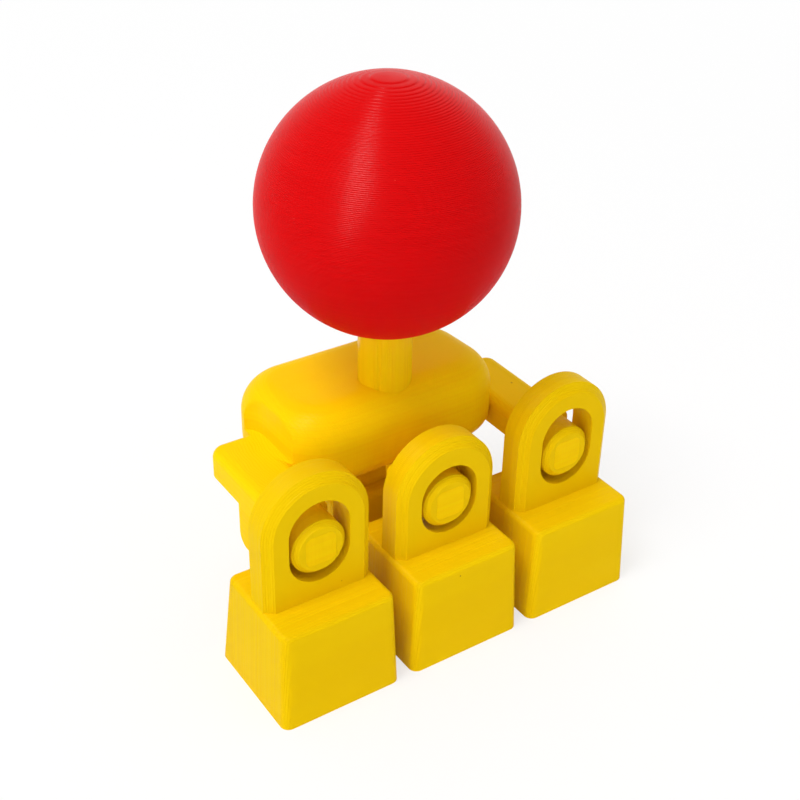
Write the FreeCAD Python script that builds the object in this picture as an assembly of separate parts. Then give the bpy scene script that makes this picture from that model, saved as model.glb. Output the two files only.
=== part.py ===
import FreeCAD, Part

import math
import os

from collections import namedtuple
from FreeCAD import Vector

# Layout of the four arrow keys, in millimetres
KEY_PITCH = 19.05

# Key cap: a drafted block, hollow underneath round its stem socket
CAP_WIDTH = 17.0
CAP_DEPTH = 16.9
CAP_HEIGHT = 14.15
CAP_SIDE_DRAFT = 0.55
CAP_FRONT_DRAFT = 0.55
CAP_BACK_DRAFT = 1.9
CAP_CORNER = 1.2
CAP_TOP_ROUND = 0.8
CAP_WALL = 1.6
CAP_ROOF = 3.0
STEM_DIAMETER = 5.6
STEM_RAISE = 4.6
CROSS_LENGTH = 4.15
CROSS_WIDTH = 1.35
CROSS_DEPTH = 4.6

# Slotted lug that stands on a key cap
LUG_WIDTH = 15.0
LUG_THICKNESS = 4.0
LUG_FORWARD = 3.07
LUG_BEVEL_INSET = 1.2
LUG_BEVEL_DEPTH = 1.0

# Peg that runs in a lug's slot: a square tenon in a round collar
COLLAR_DIAMETER = 7.5
COLLAR_PROUD = 0.25
COLLAR_EDGE = 0.7
TENON_SIZE = 4.2
TENON_CORNER = 0.9
TENON_CLEARANCE = 0.06
SLOT_SIDE_PLAY = 0.5

# Heights above the cap of a lug's crown and of its peg, and the play above and below the peg
LugHeights = namedtuple("LugHeights", "crown peg play_above play_below")
SIDE_LUG = LugHeights(crown=17.7, peg=7.45, play_above=3.05, play_below=1.1)
FRONT_LUG = LugHeights(crown=15.9, peg=6.8, play_above=1.65, play_below=0.85)

# Side arms of the hub and the legs under them, hollowed out towards the hub
ARM_WIDTH = 7.3
ARM_HEIGHT = 4.2
ARM_TOP_RISE = 10.95
ARM_REACH = 19.15
ARM_EDGE = 1.5
ARM_END_ROUND = 1.8
LEG_DEPTH = 9.6
LEG_FOOT_RISE = 0.6
LEG_FOOT_ROUND = 1.8
LEG_PLATE = 3.6
LEG_RIB = 2.5
LUG_BACK_GAP = 0.4

# Shoulder behind the front peg and the neck that joins it to the hub
SHOULDER_WIDTH = 10.6
SHOULDER_HEIGHT = 7.0
SHOULDER_THICKNESS = 2.2
NECK_OVERLAP = 2.0

# Hub: a pillow-like block with the post that carries it on the up key's cap
HUB_SETBACK = 6.45
HUB_ARM_OVERLAP = 1.6
HUB_DEPTH = 19.7
HUB_FRONT_HEIGHT = 11.1
HUB_BACK_HEIGHT = 10.0
HUB_CORNER = 7.5
HUB_TOP_ROUND = 4.6
HUB_BOTTOM_ROUND = 2.4
HUB_FLAT_OVERLAP = 0.1
HUB_FLAT_RUN_OUT = 2.1
HUB_FLAT_SWEEP = 3.5
POST_SIZE = 11.0
POST_CORNER = 1.5
POST_SEAT = 2.0
POST_CLEARANCE = 0.12

# Stick: a plain rod and the ball on its end
STICK_SETBACK = 12.3
SHAFT_DIAMETER = 7.0
SHAFT_SEAT = 7.0
SHAFT_IN_BALL = 14.0
SHAFT_CLEARANCE = 0.06
SHAFT_EDGE = 0.4
BALL_DIAMETER = 32.4
BALL_TOP_Z = 72.0

# Places that follow from the sizes above
FRONT_ROW_Y = (CAP_DEPTH - BALL_DIAMETER) / 4 - STICK_SETBACK / 2
BACK_ROW_Y = FRONT_ROW_Y + KEY_PITCH
ARM_BACK_Y = FRONT_ROW_Y + ARM_REACH
HUB_FRONT_Y = FRONT_ROW_Y + HUB_SETBACK
STICK_Y = FRONT_ROW_Y + STICK_SETBACK
LUG_FRONT_Y = FRONT_ROW_Y - LUG_FORWARD
LEG_FRONT_Y = LUG_FRONT_Y + LUG_THICKNESS + LUG_BACK_GAP
COLLAR_FRONT_Y = LUG_FRONT_Y - COLLAR_PROUD
COLLAR_LENGTH = LEG_FRONT_Y - COLLAR_FRONT_Y
SLOT_WIDTH = COLLAR_DIAMETER + 2 * SLOT_SIDE_PLAY
ARM_TOP_Z = CAP_HEIGHT + ARM_TOP_RISE
ARM_BOTTOM_Z = ARM_TOP_Z - ARM_HEIGHT
LEG_FOOT_Z = CAP_HEIGHT + LEG_FOOT_RISE
HUB_TOP_Z = ARM_BOTTOM_Z + HUB_FRONT_HEIGHT
HUB_BACK_Z = ARM_BOTTOM_Z + HUB_BACK_HEIGHT
ARM_INNER_X = KEY_PITCH - ARM_WIDTH / 2
ARM_OUTER_X = KEY_PITCH + ARM_WIDTH / 2
HUB_LENGTH = 2 * (ARM_INNER_X + HUB_ARM_OVERLAP)
HUB_FLAT_X = ARM_INNER_X + HUB_FLAT_OVERLAP
HUB_BACK_Y = HUB_FRONT_Y + HUB_DEPTH
HUB_MIDDLE_Y = HUB_FRONT_Y + HUB_DEPTH / 2
SHAFT_BOTTOM_Z = HUB_TOP_Z - SHAFT_SEAT
BALL_Z = BALL_TOP_Z - BALL_DIAMETER / 2
SHAFT_TOP_Z = BALL_Z - BALL_DIAMETER / 2 + SHAFT_IN_BALL
X_AXIS = Vector(1, 0, 0)
Z_AXIS = Vector(0, 0, 1)
ORIGIN = Vector(0, 0, 0)
QUARTER_TURN = 90
DIAGONAL = math.sqrt(0.5)
SHARP = 0.001


def rounded_rectangle(width, depth, corner, height):
    """Closed wire of a rectangle with round corners, centred on the Z axis."""
    x = width / 2
    y = depth / 2
    c = corner
    d = corner - corner * DIAGONAL
    corners = (
        (Vector(x, y - c, height), Vector(x - d, y - d, height), Vector(x - c, y, height)),
        (Vector(c - x, y, height), Vector(d - x, y - d, height), Vector(-x, y - c, height)),
        (Vector(-x, c - y, height), Vector(d - x, d - y, height), Vector(c - x, -y, height)),
        (Vector(x - c, -y, height), Vector(x - d, d - y, height), Vector(x, c - y, height)),
    )
    edges = []
    for index, (start, middle, end) in enumerate(corners):
        next_start = corners[(index + 1) % len(corners)][0]
        edges.append(Part.Arc(start, middle, end).toShape())
        edges.append(Part.LineSegment(end, next_start).toShape())
    return Part.Wire(edges)


def prism(wire, travel):
    """Solid that a closed flat wire sweeps along a straight travel."""
    return Part.Face(wire).extrude(travel)


def edges_at_height(shape, height):
    """Edges of a shape that lie wholly in the level plane at a height."""
    return [e for e in shape.Edges if all(abs(v.Z - height) < SHARP for v in e.Vertexes)]


def cap_frustum(top_z, inset):
    """Drafted block from the floor to a height, drawn in on all sides by an inset."""
    lean = top_z / CAP_HEIGHT
    low_x = CAP_WIDTH / 2 - inset
    low_y = CAP_DEPTH / 2 - inset
    high_x = low_x - CAP_SIDE_DRAFT * lean
    front_y = low_y - CAP_FRONT_DRAFT * lean
    back_y = low_y - CAP_BACK_DRAFT * lean
    block = Part.makeWedge(-low_x, 0, -low_y, -back_y, -high_x, low_x, top_z, low_y, front_y, high_x)
    block.rotate(ORIGIN, X_AXIS, QUARTER_TURN)
    return block


def cap_block():
    """Key cap without its lug: rounded block, hollow below, with a cross socket in its stem."""
    block = cap_frustum(CAP_HEIGHT, 0)
    block = block.makeFillet(CAP_CORNER, [e for e in block.Edges if e.BoundBox.ZLength > SHARP])
    block = block.makeFillet(CAP_TOP_ROUND, edges_at_height(block, CAP_HEIGHT))
    ceiling = CAP_HEIGHT - CAP_ROOF
    hollow = cap_frustum(ceiling, CAP_WALL)
    stem = Part.makeCylinder(STEM_DIAMETER / 2, ceiling - STEM_RAISE, Vector(0, 0, STEM_RAISE))
    cross = Part.makeBox(
        CROSS_LENGTH, CROSS_WIDTH, CROSS_DEPTH, Vector(-CROSS_LENGTH / 2, -CROSS_WIDTH / 2, STEM_RAISE)
    )
    cross = cross.fuse(cross.copy().rotate(ORIGIN, Z_AXIS, QUARTER_TURN))
    return block.cut(hollow).fuse(stem).cut(cross)


def arch_wire(half_width, foot_z, arch_z, y):
    """Closed upright wire at a depth: straight sides under a half-round top."""
    left_foot = Vector(-half_width, y, foot_z)
    right_foot = Vector(half_width, y, foot_z)
    right_spring = Vector(half_width, y, arch_z)
    left_spring = Vector(-half_width, y, arch_z)
    crown = Vector(0, y, arch_z + half_width)
    return Part.Wire([
        Part.LineSegment(left_foot, right_foot).toShape(),
        Part.LineSegment(right_foot, right_spring).toShape(),
        Part.Arc(right_spring, crown, left_spring).toShape(),
        Part.LineSegment(left_spring, left_foot).toShape(),
    ])


def slot_cutter(heights):
    """Upright slot with round ends, as long as the collar's play in a lug."""
    radius = SLOT_WIDTH / 2
    peg_z = CAP_HEIGHT + heights.peg
    top_z = peg_z + COLLAR_DIAMETER / 2 + heights.play_above - radius
    bottom_z = peg_z - COLLAR_DIAMETER / 2 - heights.play_below + radius
    y = -LUG_FORWARD
    right_low = Vector(radius, y, bottom_z)
    right_high = Vector(radius, y, top_z)
    left_high = Vector(-radius, y, top_z)
    left_low = Vector(-radius, y, bottom_z)
    wire = Part.Wire([
        Part.LineSegment(right_low, right_high).toShape(),
        Part.Arc(right_high, Vector(0, y, top_z + radius), left_high).toShape(),
        Part.LineSegment(left_high, left_low).toShape(),
        Part.Arc(left_low, Vector(0, y, bottom_z - radius), right_low).toShape(),
    ])
    return prism(wire, Vector(0, LUG_THICKNESS, 0))


def lug(heights):
    """Arched plate with a bevelled front edge and a slot for the peg."""
    bevel_y = LUG_BEVEL_DEPTH - LUG_FORWARD
    foot_z = CAP_HEIGHT - CAP_ROOF / 2
    half_width = LUG_WIDTH / 2
    arch_z = CAP_HEIGHT + heights.crown - half_width
    outline = arch_wire(half_width, foot_z, arch_z, bevel_y)
    front = arch_wire(half_width - LUG_BEVEL_INSET, foot_z, arch_z, -LUG_FORWARD)
    plate = prism(outline, Vector(0, LUG_THICKNESS - LUG_BEVEL_DEPTH, 0))
    bevel = Part.makeLoft([outline, front], True, True)
    return plate.fuse(bevel).cut(slot_cutter(heights))


def lugged_cap(x, heights):
    """One cap of the front row with its lug, at its key."""
    cap = cap_block().fuse(lug(heights)).removeSplitter()
    cap.translate(Vector(x, FRONT_ROW_Y, 0))
    return cap


def up_cap():
    """Cap of the up key: the same block, with a seat in its top for the hub's post."""
    seat_size = POST_SIZE + 2 * POST_CLEARANCE
    seat = prism(
        rounded_rectangle(seat_size, seat_size, POST_CORNER + POST_CLEARANCE, CAP_HEIGHT - POST_SEAT),
        Vector(0, 0, CAP_HEIGHT),
    )
    cap = cap_block().cut(seat).removeSplitter()
    cap.translate(Vector(0, BACK_ROW_Y, 0))
    return cap


def tenon(x, heights, back_y):
    """Square tenon that reaches forward to the face of its collar."""
    section = rounded_rectangle(TENON_SIZE, TENON_SIZE, TENON_CORNER, 0)
    bar = prism(section, Vector(0, 0, back_y - COLLAR_FRONT_Y))
    bar.rotate(ORIGIN, X_AXIS, QUARTER_TURN)
    bar.translate(Vector(x, back_y, CAP_HEIGHT + heights.peg))
    return bar


def peg_collar(x, heights):
    """Round collar with a square hole, pushed over a tenon up to its shoulder."""
    ring = Part.makeCylinder(COLLAR_DIAMETER / 2, COLLAR_LENGTH)
    front_rim = [e for e in edges_at_height(ring, COLLAR_LENGTH) if e.Closed]
    ring = ring.makeChamfer(COLLAR_EDGE, front_rim)
    hole_size = TENON_SIZE + 2 * TENON_CLEARANCE
    hole = rounded_rectangle(hole_size, hole_size, TENON_CORNER + TENON_CLEARANCE, 0)
    ring = ring.cut(prism(hole, Vector(0, 0, COLLAR_LENGTH)))
    ring.rotate(ORIGIN, X_AXIS, QUARTER_TURN)
    ring.translate(Vector(x, LEG_FRONT_Y, CAP_HEIGHT + heights.peg))
    return ring


def cross_edges(bar, y, z):
    """Edges of a bar that run along X at a depth and a height."""
    return [e for e in bar.Edges if all(math.hypot(v.Y - y, v.Z - z) < SHARP for v in e.Vertexes)]


def arm_and_leg(side):
    """Side arm along Y whose front end turns down into a leg, cut away towards the hub."""
    leg_back_y = LEG_FRONT_Y + LEG_DEPTH
    inner = ARM_INNER_X
    rib_x = ARM_OUTER_X - LEG_RIB
    outline = Part.makePolygon([
        Vector(inner, LEG_FRONT_Y, ARM_TOP_Z),
        Vector(inner, ARM_BACK_Y, ARM_TOP_Z),
        Vector(inner, ARM_BACK_Y, ARM_BOTTOM_Z),
        Vector(inner, leg_back_y, ARM_BOTTOM_Z),
        Vector(inner, leg_back_y, LEG_FOOT_Z),
        Vector(inner, LEG_FRONT_Y, LEG_FOOT_Z),
        Vector(inner, LEG_FRONT_Y, ARM_TOP_Z),
    ])
    bar = prism(outline, Vector(ARM_WIDTH, 0, 0))
    feet = cross_edges(bar, leg_back_y, LEG_FOOT_Z) + cross_edges(bar, LEG_FRONT_Y, LEG_FOOT_Z)
    bar = bar.makeFillet(LEG_FOOT_ROUND, feet)
    ends = [e for e in bar.Edges if all(abs(v.Y - ARM_BACK_Y) < SHARP for v in e.Vertexes)]
    ends = [e for e in ends if e.BoundBox.ZLength > SHARP]
    bar = bar.makeFillet(ARM_END_ROUND, ends)
    top = [e for e in edges_at_height(bar, ARM_TOP_Z) if abs(e.CenterOfMass.y - LEG_FRONT_Y) > SHARP]
    bar = bar.makeFillet(ARM_EDGE, top)
    relief = Part.makePolygon([
        Vector(inner, LEG_FRONT_Y + LEG_PLATE, 0),
        Vector(rib_x, leg_back_y, 0),
        Vector(inner, leg_back_y, 0),
        Vector(inner, LEG_FRONT_Y + LEG_PLATE, 0),
    ])
    bar = bar.cut(prism(relief, Vector(0, 0, ARM_BOTTOM_Z)))
    if side < 0:
        bar = bar.mirror(ORIGIN, X_AXIS)
    return bar


def front_shoulder():
    """Oblong plate that the front peg's collar rests against."""
    plate = rounded_rectangle(SHOULDER_WIDTH, SHOULDER_HEIGHT, TENON_CORNER, 0)
    plate = prism(plate, Vector(0, 0, SHOULDER_THICKNESS))
    plate.rotate(ORIGIN, X_AXIS, QUARTER_TURN)
    plate.translate(Vector(0, LEG_FRONT_Y + SHOULDER_THICKNESS, CAP_HEIGHT + FRONT_LUG.peg))
    return plate


def flat_cutter():
    """Cutter for the flat over the right arm, which runs out in an arc behind the arm."""
    front_y = HUB_FRONT_Y - HUB_CORNER
    arc_y = ARM_BACK_Y - HUB_FLAT_RUN_OUT
    outer_x = HUB_FLAT_X + HUB_FLAT_SWEEP
    bend = HUB_FLAT_SWEEP * DIAGONAL
    front = Vector(HUB_FLAT_X, front_y, ARM_TOP_Z)
    arc_start = Vector(HUB_FLAT_X, arc_y, ARM_TOP_Z)
    arc_middle = Vector(outer_x - bend, arc_y + bend, ARM_TOP_Z)
    arc_end = Vector(outer_x, arc_y + HUB_FLAT_SWEEP, ARM_TOP_Z)
    outer_front = Vector(outer_x, front_y, ARM_TOP_Z)
    wire = Part.Wire([
        Part.LineSegment(front, arc_start).toShape(),
        Part.Arc(arc_start, arc_middle, arc_end).toShape(),
        Part.LineSegment(arc_end, outer_front).toShape(),
        Part.LineSegment(outer_front, front).toShape(),
    ])
    return prism(wire, Vector(0, 0, HUB_FRONT_HEIGHT))


def hub_block():
    """Round-cornered block with a soft top that falls to the back, flattened over the arms."""
    plan = rounded_rectangle(HUB_LENGTH, HUB_DEPTH, HUB_CORNER, ARM_BOTTOM_Z)
    block = prism(plan, Vector(0, 0, HUB_FRONT_HEIGHT))
    block.translate(Vector(0, HUB_MIDDLE_Y, 0))
    left_x = -HUB_LENGTH / 2
    side_view = Part.makePolygon([
        Vector(left_x, HUB_FRONT_Y, ARM_BOTTOM_Z),
        Vector(left_x, HUB_FRONT_Y, HUB_TOP_Z),
        Vector(left_x, HUB_BACK_Y, HUB_BACK_Z),
        Vector(left_x, HUB_BACK_Y, ARM_BOTTOM_Z),
        Vector(left_x, HUB_FRONT_Y, ARM_BOTTOM_Z),
    ])
    block = block.common(prism(side_view, Vector(HUB_LENGTH, 0, 0)))
    top = [e for e in block.Edges if all(v.Z > HUB_BACK_Z - SHARP for v in e.Vertexes)]
    block = block.makeFillet(HUB_TOP_ROUND, top)
    block = block.makeFillet(HUB_BOTTOM_ROUND, edges_at_height(block, ARM_BOTTOM_Z))
    flat = flat_cutter()
    return block.cut(flat).cut(flat.mirror(ORIGIN, X_AXIS))


def hub_body():
    """Hub with its arms, legs and tenons, the post below and the shaft's socket above."""
    post_z = CAP_HEIGHT - POST_SEAT
    post = prism(
        rounded_rectangle(POST_SIZE, POST_SIZE, POST_CORNER, post_z),
        Vector(0, 0, ARM_BOTTOM_Z + ARM_HEIGHT - post_z),
    )
    post.translate(Vector(0, BACK_ROW_Y, 0))
    body = hub_block().fuse(post).fuse(front_shoulder())
    body = body.fuse(tenon(0, FRONT_LUG, HUB_FRONT_Y + NECK_OVERLAP))
    for side in (-1, 1):
        body = body.fuse(arm_and_leg(side))
        body = body.fuse(tenon(side * KEY_PITCH, SIDE_LUG, LEG_FRONT_Y + LEG_PLATE / 2))
    socket = Part.makeCylinder(
        SHAFT_DIAMETER / 2 + SHAFT_CLEARANCE, HUB_FRONT_HEIGHT, Vector(0, STICK_Y, SHAFT_BOTTOM_Z)
    )
    return body.cut(socket).removeSplitter()


def stick_shaft():
    """Rod from the floor of the hub's socket to the roof of the ball's socket."""
    rod = Part.makeCylinder(
        SHAFT_DIAMETER / 2, SHAFT_TOP_Z - SHAFT_BOTTOM_Z, Vector(0, STICK_Y, SHAFT_BOTTOM_Z)
    )
    rims = [e for e in rod.Edges if e.Closed and abs(e.BoundBox.ZLength) < SHARP]
    return rod.makeChamfer(SHAFT_EDGE, rims)


def ball_top():
    """Ball with a blind socket for the shaft."""
    ball = Part.makeSphere(BALL_DIAMETER / 2, Vector(0, STICK_Y, BALL_Z))
    socket = Part.makeCylinder(
        SHAFT_DIAMETER / 2 + SHAFT_CLEARANCE, BALL_DIAMETER, Vector(0, STICK_Y, SHAFT_TOP_Z - BALL_DIAMETER)
    )
    return ball.cut(socket)


def write(name, shape):
    """Save one checked piece as its STEP file."""
    if not shape.isValid():
        raise ValueError(name + " is not a valid shape")
    shape.exportStep(os.path.join("parts", name + ".step"))


os.makedirs("parts", exist_ok=True)
write("hub_body", hub_body())
write("stick_shaft", stick_shaft())
write("ball_top", ball_top())
write("up_cap", up_cap())
for name, key_x, lug_heights in (
    ("left", -KEY_PITCH, SIDE_LUG),
    ("front", 0, FRONT_LUG),
    ("right", KEY_PITCH, SIDE_LUG),
):
    write(name + "_cap", lugged_cap(key_x, lug_heights))
    write(name + "_collar", peg_collar(key_x, lug_heights))
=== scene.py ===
"""Looks of a printed plastic keyboard joystick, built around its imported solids."""

import logging
import math
from abc import ABC, abstractmethod
from dataclasses import dataclass
from enum import Enum

import bpy
import numpy as np
from mathutils import Matrix, Vector

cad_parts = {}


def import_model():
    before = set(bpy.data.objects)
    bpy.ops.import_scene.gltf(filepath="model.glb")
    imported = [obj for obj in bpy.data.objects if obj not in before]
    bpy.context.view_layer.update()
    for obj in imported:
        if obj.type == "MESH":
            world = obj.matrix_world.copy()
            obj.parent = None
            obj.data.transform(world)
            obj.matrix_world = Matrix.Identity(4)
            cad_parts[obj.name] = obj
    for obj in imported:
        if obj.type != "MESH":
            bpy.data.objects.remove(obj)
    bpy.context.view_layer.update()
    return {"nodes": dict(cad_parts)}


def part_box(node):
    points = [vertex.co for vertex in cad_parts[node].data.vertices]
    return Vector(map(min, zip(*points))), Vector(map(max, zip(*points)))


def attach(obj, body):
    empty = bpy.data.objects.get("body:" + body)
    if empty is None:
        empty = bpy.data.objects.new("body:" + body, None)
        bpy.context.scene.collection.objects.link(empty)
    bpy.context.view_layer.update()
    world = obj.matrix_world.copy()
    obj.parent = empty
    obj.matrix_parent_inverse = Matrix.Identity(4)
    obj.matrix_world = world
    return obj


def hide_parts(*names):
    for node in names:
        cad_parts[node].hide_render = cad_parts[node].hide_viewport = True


LOG = logging.getLogger("keyboard_joystick")
MM = 0.001
LAYER = 0.2 * MM
MERGE_DISTANCE = 0.0001 * MM
WAVE_FACTOR = 20.0  # the wave node multiplies its scale by this
OPAQUE = 1.0
SIDES = ("left", "front", "right")
STICK_BODY = "stick"
SHAFT = "stick_shaft"

Colour = tuple[float, float, float]
Direction = tuple[float, float, float]
Span = tuple[float, float]
Materials = dict[str, bpy.types.Material]
Tree = bpy.types.NodeTree
Socket = bpy.types.NodeSocket
Feed = Socket | float | tuple[float, ...]


class LayerAxis(Enum):
    """Direction in which a piece was built up, layer on layer, on the printer."""

    ALONG_X = "X"
    ALONG_Y = "Y"
    ALONG_Z = "Z"


class TrackForm(Enum):
    """Form of the tracks that the printer's nozzle leaves."""

    BANDS = "BANDS"
    RINGS = "RINGS"


class Operation(Enum):
    """Sums that the materials' math nodes do."""

    ABOVE = "GREATER_THAN"
    BELOW = "LESS_THAN"
    LARGER = "MAXIMUM"
    TIMES = "MULTIPLY"
    TIMES_PLUS = "MULTIPLY_ADD"


def feed(tree: Tree, node: bpy.types.Node, feeds: dict[str | int, Feed]) -> None:
    """Links sockets to a node's inputs and sets constants on them.

    Args:
        tree: Node tree of the node.
        node: The node.
        feeds: Socket or constant for each input, by the input's name or number.
    """
    for name, value in feeds.items():
        if isinstance(value, Socket):
            tree.links.new(value, node.inputs[name])
        else:
            node.inputs[name].default_value = value


def calculate(tree: Tree, operation: Operation, *values: Feed) -> Socket:
    """Adds a sum on numbers.

    Args:
        tree: Node tree to add to.
        operation: What is done with the numbers.
        values: Sockets or constants, in the order that the sum takes them.

    Returns:
        The socket with the result.
    """
    node = tree.nodes.new("ShaderNodeMath")
    node.operation = operation.value
    feed(tree, node, dict(enumerate(values)))
    return node.outputs["Value"]


def length_of(tree: Tree, way: Socket) -> Socket:
    """Adds the length of a vector.

    Args:
        tree: Node tree to add to.
        way: Socket with the vector.

    Returns:
        The socket with its length.
    """
    node = tree.nodes.new("ShaderNodeVectorMath")
    node.operation = "LENGTH"
    feed(tree, node, {0: way})
    return node.outputs["Value"]


def spread(tree: Tree, value: Socket, source: Span = (0.0, 1.0), result: Span = (0.0, 1.0)) -> Socket:
    """Adds a straight change of a number from one range to another, held at both ends.

    Args:
        tree: Node tree to add to.
        value: Socket with the number.
        source: Range that the number comes from.
        result: Range that it goes to.

    Returns:
        The socket with the new number.
    """
    node = tree.nodes.new("ShaderNodeMapRange")
    feed(tree, node, {"Value": value, "From Min": source[0], "From Max": source[1]})
    feed(tree, node, {"To Min": result[0], "To Max": result[1]})
    return node.outputs["Result"]


def around_stick(tree: Tree, place: Socket) -> Socket:
    """Adds the way from the stick's axis, level with the floor.

    Args:
        tree: Node tree to add to.
        place: Socket with the object coordinates.

    Returns:
        The socket with that way as a vector.
    """
    low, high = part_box(SHAFT)
    axis = (low + high) / 2
    centre = tree.nodes.new("ShaderNodeMapping")
    feed(tree, centre, {"Vector": place, "Location": (-axis.x, -axis.y, 0.0), "Scale": (1.0, 1.0, 0.0)})
    return centre.outputs["Vector"]


def seen_directly(tree: Tree) -> Socket:
    """Adds a value that is 1 where a surface is seen, mirrored or seen through glass, else 0.

    Args:
        tree: Node tree to add to.

    Returns:
        The socket with that value.
    """
    path = tree.nodes.new("ShaderNodeLightPath").outputs
    seen = calculate(tree, Operation.LARGER, path["Is Camera Ray"], path["Is Glossy Ray"])
    return calculate(tree, Operation.LARGER, seen, path["Is Transmission Ray"])


@dataclass(frozen=True)
class NozzleTracks:
    """Evenly spaced ridges that the printer's nozzle leaves, wavering a little.

    Attributes:
        axis: Direction in which bands follow each other, or about which rings run.
        form: Form of the ridges.
        spacing: Way from one ridge to the next, in metres.
        waver: Size of the wavering, in the wave node's own measure.
        waver_scale: How quickly the wavering changes, in the wave node's own measure.
        height: Height of the ridges, as a share of the finish's ridge.
    """

    axis: LayerAxis
    form: TrackForm = TrackForm.BANDS
    spacing: float = LAYER
    waver: float = 0.6
    waver_scale: float = 0.02
    height: float = 1.0

    def add(self, tree: Tree, place: Socket) -> Socket:
        """Adds the ridges: a sine wave of the place along the axis, or of the distance from it.

        Args:
            tree: Node tree to add to.
            place: Socket with the place that the wave is worked out from.

        Returns:
            The socket with the ridges' height.
        """
        wave = tree.nodes.new("ShaderNodeTexWave")
        wave.wave_type = self.form.value
        wave.bands_direction = self.axis.value
        wave.rings_direction = self.axis.value
        feed(tree, wave, {"Vector": place, "Scale": math.tau / (WAVE_FACTOR * self.spacing)})
        feed(tree, wave, {"Distortion": self.waver, "Detail Scale": self.waver_scale})
        return wave.outputs["Fac"]


@dataclass(frozen=True)
class Streaks:
    """Slightly deeper streaks, drawn out along the printed layers.

    Attributes:
        colour: Linear colour of the streaks.
        along: Changes of the noise in a metre along the layers.
        across: Changes of the noise in one layer across them.
        detail: Levels of finer noise.
        span: Range of the noise that is spread over the whole tint.
        height: Height of the streaks, as a share of the finish's ridge.
    """

    colour: Colour
    along: float = 15.0
    across: float = 0.5
    detail: float = 3.0
    span: Span = (0.35, 0.65)
    height: float = 1.5

    def add(self, tree: Tree, place: Socket, layers: NozzleTracks) -> Socket:
        """Adds noise that is fine across the layers and long along them.

        Args:
            tree: Node tree to add to.
            place: Socket with the object coordinates.
            layers: The layers that the streaks lie along.

        Returns:
            The socket with the streaks' strength.
        """
        across = self.across / layers.spacing
        scale = tuple(across if letter == layers.axis.value else self.along for letter in "XYZ")
        stretch = tree.nodes.new("ShaderNodeMapping")
        feed(tree, stretch, {"Vector": place, "Scale": scale})
        noise = tree.nodes.new("ShaderNodeTexNoise")
        feed(tree, noise, {"Vector": stretch.outputs["Vector"], "Scale": 1.0, "Detail": self.detail})
        return spread(tree, noise.outputs["Fac"], source=self.span)


@dataclass(frozen=True)
class Specks:
    """Small scattered specks of another colour; the pale ones on the ball are painted glints.

    Attributes:
        colour: Linear colour of the specks.
        spacing: Usual way from one speck to the next, in metres.
        radius: Radius of a speck, in metres.
        height: Height of the specks, as a share of the finish's ridge; pits are below 0.
    """

    colour: Colour
    spacing: float = 5.5 * MM
    radius: float = 0.14 * MM
    height: float = -2.0

    def add(self, tree: Tree, place: Socket) -> Socket:
        """Adds the specks: 1 within a speck's radius of a scattered point, else 0.

        Args:
            tree: Node tree to add to.
            place: Socket with the object coordinates.

        Returns:
            The socket with the specks.
        """
        scatter = tree.nodes.new("ShaderNodeTexVoronoi")
        feed(tree, scatter, {"Vector": place, "Scale": 1.0 / self.spacing})
        return calculate(tree, Operation.BELOW, scatter.outputs["Distance"], self.radius / self.spacing)


@dataclass(frozen=True)
class SoftCrease:
    """Rounding off of creases in the light, above a height and away from the stick.

    Attributes:
        radius: Radius of the rounding, in metres.
        above: Height above which creases are rounded, in metres.
        beyond: Distance from the stick's axis beyond which they are, in metres.
    """

    radius: float
    above: float
    beyond: float

    def add(self, tree: Tree, place: Socket) -> Socket:
        """Adds a normal that is rounded off at the creases.

        Args:
            tree: Node tree to add to.
            place: Socket with the object coordinates.

        Returns:
            The socket with the normal.
        """
        split = tree.nodes.new("ShaderNodeSeparateXYZ")
        feed(tree, split, {"Vector": place})
        high_up = calculate(tree, Operation.ABOVE, split.outputs["Z"], self.above)
        from_stick = length_of(tree, around_stick(tree, place))
        far_out = calculate(tree, Operation.ABOVE, from_stick, self.beyond)
        both = calculate(tree, Operation.TIMES, high_up, far_out)
        edge = tree.nodes.new("ShaderNodeBevel")
        feed(tree, edge, {"Radius": calculate(tree, Operation.TIMES, both, self.radius)})
        return edge.outputs["Normal"]


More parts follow.
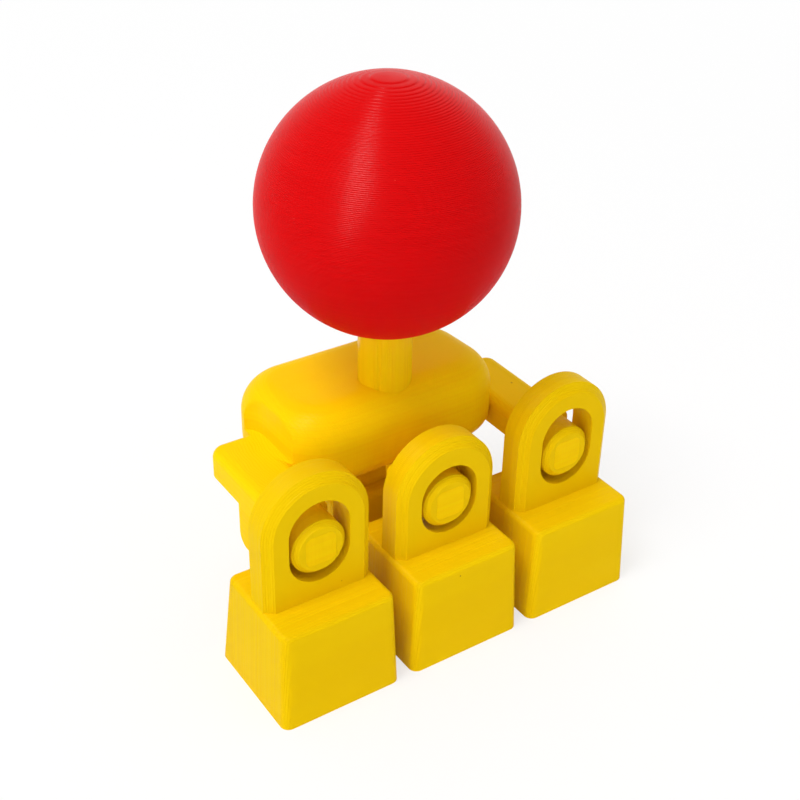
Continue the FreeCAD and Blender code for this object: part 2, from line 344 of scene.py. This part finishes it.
@dataclass(frozen=True)
class PrintedPlastic:
    """Satin plastic with the fine ridges of printed layers, streaks and a few specks.

    Attributes:
        name: Name of the material.
        slot: Material slot of the record that the finish belongs to; not used by this script.
        colour: Linear base colour.
        streaks: Deeper streaks along the layers.
        specks: Scattered specks.
        layers: Ridges of the layers' edges.
        rings: Nozzle tracks in rings about the stick, if there are any.
        soft_crease: Rounding off of creases, if there is any.
        ridge: Height of the ridges in the bump, in metres.
        relief: Strength of the bump.
        roughness: Roughness of the surface.
        gloss: Strength of the surface's mirror-like part.
    """

    name: str
    slot: str
    colour: Colour
    streaks: Streaks
    specks: Specks
    layers: NozzleTracks
    rings: NozzleTracks | None = None
    soft_crease: SoftCrease | None = None
    ridge: float = 0.05 * MM
    relief: float = 0.6
    roughness: float = 0.32
    gloss: float = 0.012

    def add_relief(self, tree: Tree, place: Socket, streaks: Socket, specks: Socket) -> Socket:
        """Adds the bump of layers, streaks, specks and rings, added up by their heights.

        Args:
            tree: Node tree to add to.
            place: Socket with the object coordinates.
            streaks: Socket with the streaks' strength.
            specks: Socket with the specks.

        Returns:
            The socket with the normal.
        """
        layers = self.layers.add(tree, place)
        parts = [(layers, self.layers.height), (streaks, self.streaks.height), (specks, self.specks.height)]
        if self.rings:
            parts.append((self.rings.add(tree, around_stick(tree, place)), self.rings.height))
        height: Feed = 0.0
        for part, share in parts:
            height = calculate(tree, Operation.TIMES_PLUS, part, share, height)
        bump = tree.nodes.new("ShaderNodeBump")
        feed(tree, bump, {"Height": height, "Strength": self.relief, "Distance": self.ridge})
        if self.soft_crease:
            feed(tree, bump, {"Normal": self.soft_crease.add(tree, place)})
        return bump.outputs["Normal"]

    def add_tint(self, tree: Tree, streaks: Socket, specks: Socket) -> Socket:
        """Adds the base colour, blended to the streaks' colour and then to the specks'.

        Args:
            tree: Node tree to add to.
            streaks: Socket with the streaks' strength.
            specks: Socket with the specks.

        Returns:
            The socket with the colour.
        """
        tint: Feed = (*self.colour, OPAQUE)
        for share, colour in ((streaks, self.streaks.colour), (specks, self.specks.colour)):
            mix = tree.nodes.new("ShaderNodeMix")
            mix.data_type = "RGBA"
            feed(tree, mix, {"Factor": share, "A": tint, "B": (*colour, OPAQUE)})
            tint = mix.outputs["Result"]
        return tint

    def build(self) -> bpy.types.Material:
        """Builds the material with its relief and its tint.

        Returns:
            The finished material.
        """
        material = bpy.data.materials.new(self.name)
        material.use_nodes = True
        tree = material.node_tree
        shader = tree.nodes["Principled BSDF"]
        place = tree.nodes.new("ShaderNodeTexCoord").outputs["Object"]
        streaks = self.streaks.add(tree, place, self.layers)
        specks = self.specks.add(tree, place)
        feed(tree, shader, {"Roughness": self.roughness, "Specular IOR Level": self.gloss})
        feed(tree, shader, {"Normal": self.add_relief(tree, place, streaks, specks)})
        feed(tree, shader, {"Base Color": self.add_tint(tree, streaks, specks)})
        return material


# One yellow plastic in two copies: the caps and collars get the plainer yellow, while the hub and shaft get
# a brighter copy that is painted light, lifting their shaded faces.
YELLOW = (0.89, 0.59, 0.002)
PAINTED_LIGHT_YELLOW = (0.99, 0.66, 0.002)
RED = (0.68, 0.003, 0.004)
YELLOW_STREAKS = Streaks((0.87, 0.555, 0.0015))
# Streak tone of the brighter yellow copy, which is painted light.
PAINTED_LIGHT_STREAKS = Streaks((0.98, 0.62, 0.002))
RED_STREAKS = Streaks((0.655, 0.0025, 0.0035))
BROWN_SPECKS = Specks((0.45, 0.2, 0.01))
# Pale red dots on the ball are painted glints, which are painted highlights, and each one is also a tiny
# pit in the bump.
PAINTED_GLINTS = Specks((0.85, 0.05, 0.04), spacing=3.0 * MM, radius=0.06 * MM)
STICK_RINGS = NozzleTracks(
    LayerAxis.ALONG_Z, TrackForm.RINGS, spacing=2.0 * LAYER, waver=7.0, waver_scale=0.5, height=1.2
)

# Hub finish, on the brighter yellow copy that is painted light.
LEVEL_YELLOW = PrintedPlastic(
    "level_yellow",
    "yellow_plastic",
    PAINTED_LIGHT_YELLOW,
    PAINTED_LIGHT_STREAKS,
    BROWN_SPECKS,
    NozzleTracks(LayerAxis.ALONG_Z),
    rings=STICK_RINGS,
    soft_crease=SoftCrease(radius=0.9 * MM, above=26.6 * MM, beyond=8.0 * MM),
    ridge=0.02 * MM,
)
UPRIGHT_YELLOW = PrintedPlastic(
    "upright_yellow",
    "yellow_plastic",
    YELLOW,
    YELLOW_STREAKS,
    BROWN_SPECKS,
    NozzleTracks(LayerAxis.ALONG_Y),
)
# Shaft finish, on the brighter yellow copy that is painted light.
STREAKED_YELLOW = PrintedPlastic(
    "streaked_yellow",
    "yellow_plastic",
    PAINTED_LIGHT_YELLOW,
    PAINTED_LIGHT_STREAKS,
    BROWN_SPECKS,
    NozzleTracks(LayerAxis.ALONG_X),
    roughness=0.25,
    gloss=0.05,
)
# Ball finish; its pale dots are painted glints.
BALL_RED = PrintedPlastic(
    "ball_red",
    "red_plastic",
    RED,
    RED_STREAKS,
    PAINTED_GLINTS,
    NozzleTracks(LayerAxis.ALONG_Z),
    ridge=0.002 * MM,
    roughness=0.22,
    gloss=0.028,
)
FINISHES = (LEVEL_YELLOW, UPRIGHT_YELLOW, STREAKED_YELLOW, BALL_RED)


def surface_object(name: str, points: np.ndarray, faces: np.ndarray) -> bpy.types.Object:
    """Makes a mesh object from arrays of points and faces, smooth all over.

    Args:
        name: Name of the object and its mesh.
        points: Points, as an array of n by 3, in metres.
        faces: Quads or triangles, as an array of m by 4 or m by 3 point numbers.

    Returns:
        The new object, linked to the scene.
    """
    mesh = bpy.data.meshes.new(name)
    corners = faces.shape[1]
    mesh.vertices.add(len(points))
    mesh.vertices.foreach_set("co", points.astype(np.float32).ravel())
    mesh.loops.add(faces.size)
    mesh.loops.foreach_set("vertex_index", faces.astype(np.int32).ravel())
    mesh.polygons.add(len(faces))
    mesh.polygons.foreach_set("loop_start", np.arange(0, faces.size, corners, dtype=np.int32))
    mesh.update(calc_edges=True)
    mesh.polygons.foreach_set("use_smooth", np.ones(len(faces), dtype=bool))
    mesh.validate()
    piece = bpy.data.objects.new(name, mesh)
    bpy.context.scene.collection.objects.link(piece)
    return piece


def smooth_copy(node: str, name: str, crease_degrees: float) -> bpy.types.Object:
    """Copies a solid's mesh, joins its loose triangles and smooths it between its creases.

    Points that agree to a tenth of a micron become one point. Edges that bend by more
    than the crease angle stay sharp.

    Args:
        node: Name of the solid.
        name: Name of the new object.
        crease_degrees: Bend above which an edge stays sharp, in degrees.

    Returns:
        The smooth copy, linked to the scene.
    """
    source = bpy.data.objects[node].data
    points = np.empty(len(source.vertices) * 3, np.float32)
    source.vertices.foreach_get("co", points)
    source.calc_loop_triangles()
    faces = np.empty(len(source.loop_triangles) * 3, np.int32)
    source.loop_triangles.foreach_get("vertices", faces)
    keys = np.round(points.reshape(-1, 3) / MERGE_DISTANCE).astype(np.int64)
    _, first, joined = np.unique(keys, axis=0, return_index=True, return_inverse=True)
    triangles = joined.reshape(-1)[faces].reshape(-1, 3)
    proper = (triangles != np.roll(triangles, 1, axis=1)).all(axis=1)
    piece = surface_object(name, points.reshape(-1, 3)[first], triangles[proper])
    piece.data.set_sharp_from_angle(angle=math.radians(crease_degrees))
    return piece


def turned_surface(name: str, radii: np.ndarray, heights: np.ndarray, axis: Vector) -> bpy.types.Object:
    """Makes a closed surface about an upright axis: x = r cos t, y = r sin t at each height.

    The radius may differ from ring to ring and from step to step round the axis. The first
    and last rings are closed by a point on the axis.

    Args:
        name: Name of the object.
        radii: Radius of each ring at each step, as an array of rings by steps, from the top down.
        heights: Height of each ring.
        axis: A point on the axis.

    Returns:
        The closed surface, linked to the scene.
    """
    rings, steps = radii.shape
    turns = np.linspace(0.0, math.tau, steps, endpoint=False)
    wall = np.stack(
        [
            axis.x + radii * np.cos(turns),
            axis.y + radii * np.sin(turns),
            np.broadcast_to(heights[:, None], radii.shape),
        ],
        axis=-1,
    ).reshape(-1, 3)
    poles = np.array([[axis.x, axis.y, heights[0]], [axis.x, axis.y, heights[-1]]])
    index = np.arange(rings * steps).reshape(rings, steps)
    right = np.roll(index, -1, axis=1)
    top = np.full(steps, rings * steps)
    bottom = top + 1
    faces = np.concatenate(
        [
            np.stack([index[:-1], index[1:], right[1:]], axis=-1).reshape(-1, 3),
            np.stack([index[:-1], right[1:], right[:-1]], axis=-1).reshape(-1, 3),
            np.stack([top, index[0], right[0]], axis=-1),
            np.stack([bottom, right[-1], index[-1]], axis=-1),
        ]
    )
    return surface_object(name, np.concatenate([wall, poles]), faces)


@dataclass
class PrintedPiece:
    """One solid of the frame, shown as a smooth, finished copy of itself.

    Attributes:
        node: Name of the solid.
        body: Name of the body that the piece rides on.
        finish: Finish of the piece.
        crease_degrees: Bend above which an edge stays sharp.
    """

    node: str
    body: str
    finish: PrintedPlastic
    crease_degrees: float = 20.0

    def build(self) -> bpy.types.Object:
        """Builds the piece's mesh and returns the piece, without its finish."""
        return smooth_copy(self.node, f"{self.node}_print", self.crease_degrees)

    def dress(self, piece: bpy.types.Object, materials: Materials) -> None:
        """Gives the piece its finish and puts it in the place of its solid, on its body.

        Args:
            piece: The piece's object.
            materials: Finished materials by name.
        """
        piece.data.materials.clear()
        piece.data.materials.append(materials[self.finish.name])
        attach(piece, self.body)
        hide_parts(self.node)


BuiltPiece = tuple[PrintedPiece, bpy.types.Object]


@dataclass
class LayeredBall(PrintedPiece):
    """Ball of the stick, with each printed layer as a real, rounded ridge.

    Attributes:
        layer: Thickness of a layer, in metres.
        groove: Depth of the groove between two layers, in metres.
        roundness: Share of a half-round that each layer's edge is bent to.
        socket_clearance: Gap between the shaft and the wall of its socket, in metres.
        steps: Number of steps round the ball.
        points_per_layer: Points of the outline in each layer.
        pole_radius: Radius of the small flat at the top, in metres.
    """

    layer: float = LAYER
    groove: float = 0.08 * MM
    roundness: float = 0.97
    socket_clearance: float = 0.06 * MM
    steps: int = 100
    points_per_layer: int = 6
    pole_radius: float = 0.02 * MM

    def outline(self, shaft_radius: float, roof: float) -> tuple[np.ndarray, np.ndarray]:
        """Works out the ball's outline from its top to the roof of its socket.

        The outline is a circle, drawn in so that each layer's edge is a flat half-round: by
        the groove's depth times 1 less the root of 1 less the square of the way from the
        layer's middle. At its foot it turns up the straight wall of the socket.

        Args:
            shaft_radius: Radius of the socket.
            roof: Height of the socket's roof.

        Returns:
            Radius and height of each ring.
        """
        low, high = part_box(self.node)
        ball_radius = (high.x - low.x) / 2
        centre = high.z - ball_radius
        lowest = centre - math.sqrt(ball_radius**2 - shaft_radius**2)
        count = int(round((high.z - lowest) / self.layer)) * self.points_per_layer
        heights = np.linspace(high.z, lowest, count + 1)
        from_middle = 2.0 * np.mod((heights - lowest) / self.layer, 1.0) - 1.0
        depth = self.groove * (1.0 - np.sqrt(1.0 - (self.roundness * from_middle) ** 2))
        depth[0] = 0.0
        square = (ball_radius - depth) ** 2 - (heights - centre) ** 2
        radii = np.sqrt(np.maximum(square, self.pole_radius**2))
        return np.append(radii, [shaft_radius, shaft_radius]), np.append(heights, [lowest, roof])

    def build(self) -> bpy.types.Object:
        """Builds the ball by turning its outline about the stick's axis.

        Returns:
            The ball, without its finish.
        """
        shaft_low, shaft_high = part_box(SHAFT)
        shaft_radius = (shaft_high.x - shaft_low.x) / 2 + self.socket_clearance
        radii, heights = self.outline(shaft_radius, shaft_high.z)
        rings = np.repeat(radii[:, None], self.steps, axis=1)
        return turned_surface("ball_print", rings, heights, (shaft_low + shaft_high) / 2)


@dataclass
class SeatedCollar(PrintedPiece):
    """Collar of a peg, pressed on so that little shows of the gap round the square tenon.

    Attributes:
        hole: Half the width of the square hole, in metres.
        closing: How far the hole's walls close up on the tenon, in metres.
    """

    hole: float = 2.16 * MM
    closing: float = 0.035 * MM

    def build(self) -> bpy.types.Object:
        """Builds the collar, with the points of its hole drawn in about the peg's axis.

        Returns:
            The collar, without its finish.
        """
        collar = super().build()
        low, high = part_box(self.node)
        middle = np.array((low + high) / 2)
        points = np.empty(len(collar.data.vertices) * 3, np.float32)
        collar.data.vertices.foreach_get("co", points)
        points = points.reshape(-1, 3)
        across = np.abs(points - middle)[:, [0, 2]].max(axis=1)
        inner = across < self.hole + self.closing
        drawn_in = middle + (points - middle) * (1.0 - self.closing / self.hole)
        points[inner, 0] = drawn_in[inner, 0]
        points[inner, 2] = drawn_in[inner, 2]
        collar.data.vertices.foreach_set("co", points.ravel())
        collar.data.update()
        return collar


@dataclass
class SeamedShaft(PrintedPiece):
    """Rod of the stick, with shallow flutes along it and the seam where each layer starts.

    Attributes:
        seating: How far the rod fills the gap of its two sockets, in metres.
        edge: Bevel at both ends, in metres.
        flute: Depth of the flutes, in metres.
        flute_counts: Numbers of flutes round the rod, which beat with each other.
        seam: Depth of the seam, in metres.
        seam_degrees: Place of the seam round the rod, from +X towards +Y.
        seam_width_degrees: Width of the seam.
        steps: Number of steps round the rod.
    """

    seating: float = 0.05 * MM
    edge: float = 0.4 * MM
    flute: float = 0.02 * MM
    flute_counts: tuple[int, ...] = (17, 29, 46)
    seam: float = 0.12 * MM
    seam_degrees: float = 224.0
    seam_width_degrees: float = 3.0
    steps: int = 480

    def build(self) -> bpy.types.Object:
        """Builds the rod: a circle, drawn in by the mean of some cosine flutes and a bell-shaped seam.

        Returns:
            The rod, without its finish.
        """
        low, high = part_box(self.node)
        radius = (high.x - low.x) / 2 + self.seating
        turns = np.linspace(0.0, math.tau, self.steps, endpoint=False)
        flutes = np.mean([np.cos(count * turns) for count in self.flute_counts], axis=0)
        from_seam = (np.degrees(turns) - self.seam_degrees) / self.seam_width_degrees
        drawn_in = self.flute * (1.0 - flutes) / 2.0 + self.seam * np.exp(-(from_seam**2))
        wall = radius - drawn_in
        radii = np.stack([wall - self.edge, wall, wall, wall - self.edge])
        heights = np.array([high.z, high.z - self.edge, low.z + self.edge, low.z])
        rod = turned_surface(f"{self.node}_print", radii, heights, (low + high) / 2)
        rod.data.set_sharp_from_angle(angle=math.radians(self.crease_degrees))
        return rod


class SubAssembly(ABC):
    """Pieces that are built and dressed together."""

    @abstractmethod
    def pieces(self) -> list[PrintedPiece]:
        """Lists the pieces in building order."""

    def build(self) -> list[BuiltPiece]:
        """Builds the meshes and returns each piece with its object."""
        return [(piece, piece.build()) for piece in self.pieces()]

    def dress(self, built: list[BuiltPiece], materials: Materials) -> None:
        """Gives the built pieces their finishes and logs each of them.

        Args:
            built: Each piece with its object.
            materials: Finished materials by name.
        """
        for piece, shown in built:
            piece.dress(shown, materials)
            LOG.info("%s has %d faces", shown.name, len(shown.data.polygons))


@dataclass
class StickAssembly(SubAssembly):
    """Hub, shaft, ball, up cap and collars, which move as one.

    Attributes:
        body: Name of the body that they ride on.
        sides: Names of the three pegs' sides.
    """

    body: str = STICK_BODY
    sides: tuple[str, ...] = SIDES

    def pieces(self) -> list[PrintedPiece]:
        """Lists the pieces of the stick.

        Returns:
            The pieces in building order.
        """
        return [
            PrintedPiece("hub_body", self.body, LEVEL_YELLOW),
            PrintedPiece("up_cap", self.body, UPRIGHT_YELLOW),
            SeamedShaft(SHAFT, self.body, STREAKED_YELLOW),
            LayeredBall("ball_top", self.body, BALL_RED),
            *[SeatedCollar(f"{side}_collar", self.body, UPRIGHT_YELLOW) for side in self.sides],
        ]


@dataclass
class FrontRow(SubAssembly):
    """The three key caps with slotted lugs, each on its own slide.

    Attributes:
        sides: Names of the three keys' sides.
    """

    sides: tuple[str, ...] = SIDES

    def pieces(self) -> list[PrintedPiece]:
        """Lists the caps in building order."""
        return [PrintedPiece(f"{side}_cap", f"{side}_key", UPRIGHT_YELLOW) for side in self.sides]


@dataclass(frozen=True)
class SoftLamp:
    """Oblong lamp that shines on the object.

    Attributes:
        name: Name of the lamp.
        towards: Direction from the object to the lamp.
        size: Width and height of the lamp, in metres.
        power: Power of the lamp, in watts.
        gloss_only: Whether the lamp is seen in highlights only.
        distance: Way from the object to the lamp, in metres.
    """

    name: str
    towards: Direction
    size: Span
    power: float
    gloss_only: bool = False
    distance: float = 1.2

    def hang(self, target: Vector) -> None:
        """Hangs the lamp so that it faces a point.

        Args:
            target: The point that it faces.
        """
        lamp = bpy.data.lights.new(self.name, "AREA")
        lamp.shape = "RECTANGLE"
        lamp.size, lamp.size_y = self.size
        lamp.energy = self.power
        direction = Vector(self.towards).normalized()
        holder = bpy.data.objects.new(self.name, lamp)
        holder.location = target + direction * self.distance
        holder.visible_diffuse = not self.gloss_only
        holder.rotation_mode = "QUATERNION"
        holder.rotation_quaternion = (-direction).to_track_quat("-Z", "Y")
        bpy.context.scene.collection.objects.link(holder)


@dataclass
class Studio:
    """Pale floor, soft light and the camera at the photograph's angle.

    Attributes:
        camera_place: Place of the camera, in metres.
        camera_target: Point in the middle of the picture, in metres.
        camera_roll: Turn of the camera about its line of sight, in degrees.
        lens: Focal length in millimetres.
        sensor: Width of the picture that the focal length is for, in millimetres.
        nearest: Distance from the camera at which its view starts, in metres.
        sky: Strength of the even light from all sides.
        lamps: The lamps.
        floor_white: Share of plain white that the camera sees in the floor round the object.
        floor_fade: Distances from the object between which that share grows to 1, in metres.
        floor_size: Length of the floor's sides, in metres.
        floor_colour: Linear colour of the floor.
    """

    camera_place: Direction = (-0.082157, -0.12179, 0.122127)
    camera_target: Direction = (-0.005912, -0.010097, 0.036623)
    camera_roll: float = 1.326
    lens: float = 59.93
    sensor: float = 36.0
    nearest: float = 0.005
    sky: float = 0.6
    lamps: tuple[SoftLamp, ...] = (
        SoftLamp("key_lamp", (-0.45, -0.05, 0.89), (0.4, 0.5), 7.4),
        SoftLamp("streak_lamp", (-0.45, -0.1, 0.89), (0.12, 0.6), 26.0, gloss_only=True),
        SoftLamp("back_lamp", (0.8, 0.5, 0.5), (1.0, 1.0), 1.6),
        SoftLamp("left_lamp", (-0.9, -0.6, 0.3), (1.0, 1.0), 1.7),
    )
    floor_white: float = 0.68
    floor_fade: Span = (0.1, 0.4)
    floor_size: float = 6.0
    floor_colour: Colour = (0.95, 0.95, 0.95)

    def build_world(self) -> None:
        """Makes the even white surround, full white to the eye and softer as light."""
        world = bpy.data.worlds.new("white_surround")
        bpy.context.scene.world = world
        world.use_nodes = True
        tree = world.node_tree
        strength = spread(tree, seen_directly(tree), result=(self.sky, 1.0))
        feed(tree, tree.nodes["Background"], {"Color": (1.0, 1.0, 1.0, OPAQUE), "Strength": strength})

    def floor_material(self) -> bpy.types.Material:
        """Builds the floor's finish: matt, with a share of plain white that grows with distance.

        Returns:
            The finished material.
        """
        material = bpy.data.materials.new("pale_floor")
        material.use_nodes = True
        tree = material.node_tree
        matt = tree.nodes["Principled BSDF"]
        feed(tree, matt, {"Base Color": (*self.floor_colour, OPAQUE)})
        feed(tree, matt, {"Roughness": 1.0, "Specular IOR Level": 0.0})
        white = tree.nodes.new("ShaderNodeEmission")
        away = length_of(tree, tree.nodes.new("ShaderNodeTexCoord").outputs["Object"])
        fade = spread(tree, away, source=self.floor_fade, result=(self.floor_white, 1.0))
        share = calculate(tree, Operation.TIMES, seen_directly(tree), fade)
        blend = tree.nodes.new("ShaderNodeMixShader")
        feed(tree, blend, {"Fac": share, 1: matt.outputs["BSDF"], 2: white.outputs["Emission"]})
        feed(tree, tree.nodes["Material Output"], {"Surface": blend.outputs["Shader"]})
        return material

    def build_floor(self) -> None:
        """Makes the pale floor, a square that keeps a faint share of the shadows."""
        half = self.floor_size / 2
        corners = np.array([[-half, -half, 0.0], [half, -half, 0.0], [half, half, 0.0], [-half, half, 0.0]])
        floor = surface_object("floor", corners, np.array([[0, 1, 2, 3]]))
        floor.data.materials.append(self.floor_material())

    def build_camera(self) -> None:
        """Sets the camera where the photograph was taken."""
        data = bpy.data.cameras.new("photo_camera")
        data.lens = self.lens
        data.sensor_width = self.sensor
        data.clip_start = self.nearest
        camera = bpy.data.objects.new("photo_camera", data)
        sight = Vector(self.camera_target) - Vector(self.camera_place)
        level = sight.to_track_quat("-Z", "Y").to_matrix().to_4x4()
        roll = Matrix.Rotation(math.radians(self.camera_roll), 4, "Z")
        camera.matrix_world = Matrix.Translation(self.camera_place) @ level @ roll
        bpy.context.scene.collection.objects.link(camera)
        bpy.context.scene.camera = camera

    def build(self) -> None:
        """Builds the whole studio."""
        self.build_world()
        self.build_floor()
        for lamp in self.lamps:
            lamp.hang(Vector(self.camera_target))
        self.build_camera()
        bpy.context.scene.view_settings.view_transform = "Standard"


def main() -> None:
    """Builds the joystick's pieces in order, then the studio."""
    logging.basicConfig(level=logging.INFO)
    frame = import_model()
    LOG.info("the frame holds %d solids", len(frame["nodes"]))
    materials = {finish.name: finish.build() for finish in FINISHES}
    for assembly in (StickAssembly(), FrontRow()):
        assembly.dress(assembly.build(), materials)
    Studio().build()


if __name__ == "__main__":
    main()
